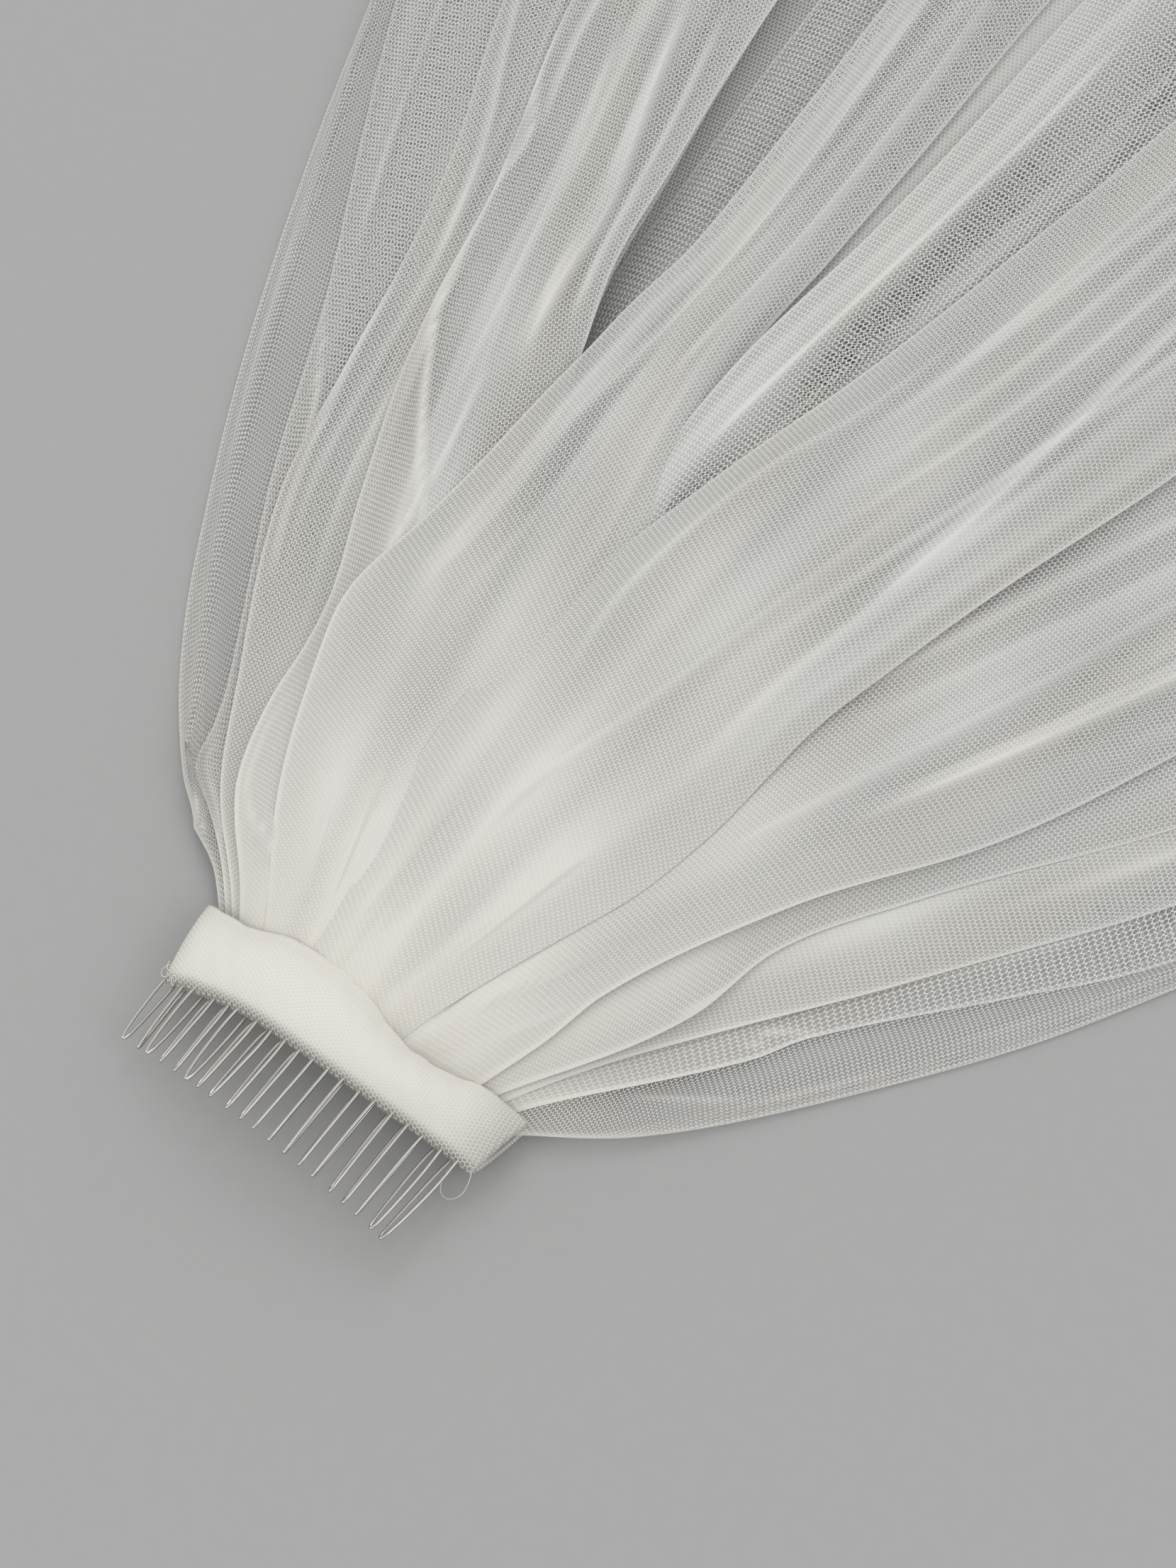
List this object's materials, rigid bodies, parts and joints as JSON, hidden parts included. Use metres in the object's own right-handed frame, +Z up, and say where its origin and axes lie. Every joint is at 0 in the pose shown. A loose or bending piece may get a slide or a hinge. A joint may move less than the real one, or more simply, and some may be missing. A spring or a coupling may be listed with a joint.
{
  "type": "bridal veil",
  "caption": "Gathered net bridal veil laid flat in a fan, its top edge bound in a soft net band on an arched wire comb that slides into the hair.",
  "frame": {"origin": "middle of the garment's outline on the table, under the cloth", "axes": "+Z up from the table, +Y from the comb to the hem, +X along the comb towards its right end as seen from the teeth"},
  "size_m": [0.7166, 0.7806, 0.0431],
  "materials": {
    "net": "soft white hexagonal net with a faint sheen, see-through in one layer",
    "band_net": "folded warm white net, many layers thick, with a soft mesh texture",
    "silver_wire": "bright silver-coloured steel wire"
  },
  "bodies": {
    "root": {"comb_spine": "silver_wire", "comb_tooth_01": "silver_wire", "comb_tooth_02": "silver_wire", "comb_tooth_03": "silver_wire", "comb_tooth_04": "silver_wire", "comb_tooth_05": "silver_wire", "comb_tooth_06": "silver_wire", "comb_tooth_07": "silver_wire", "comb_tooth_08": "silver_wire", "comb_tooth_09": "silver_wire", "comb_tooth_10": "silver_wire", "comb_tooth_11": "silver_wire", "comb_tooth_12": "silver_wire", "comb_tooth_13": "silver_wire", "comb_tooth_14": "silver_wire", "comb_tooth_15": "silver_wire", "comb_tooth_16": "silver_wire", "comb_tooth_17": "silver_wire", "comb_tooth_18": "silver_wire", "comb_tooth_19": "silver_wire", "comb_tooth_20": "silver_wire", "band_front": "band_net", "band_back": "band_net", "veil_floor_lay": "net", "veil_inner_folds": "net", "veil_left_fall": "net", "veil_right_fall": "net", "veil_top_fold": "net"}
  },
  "joints": []
}
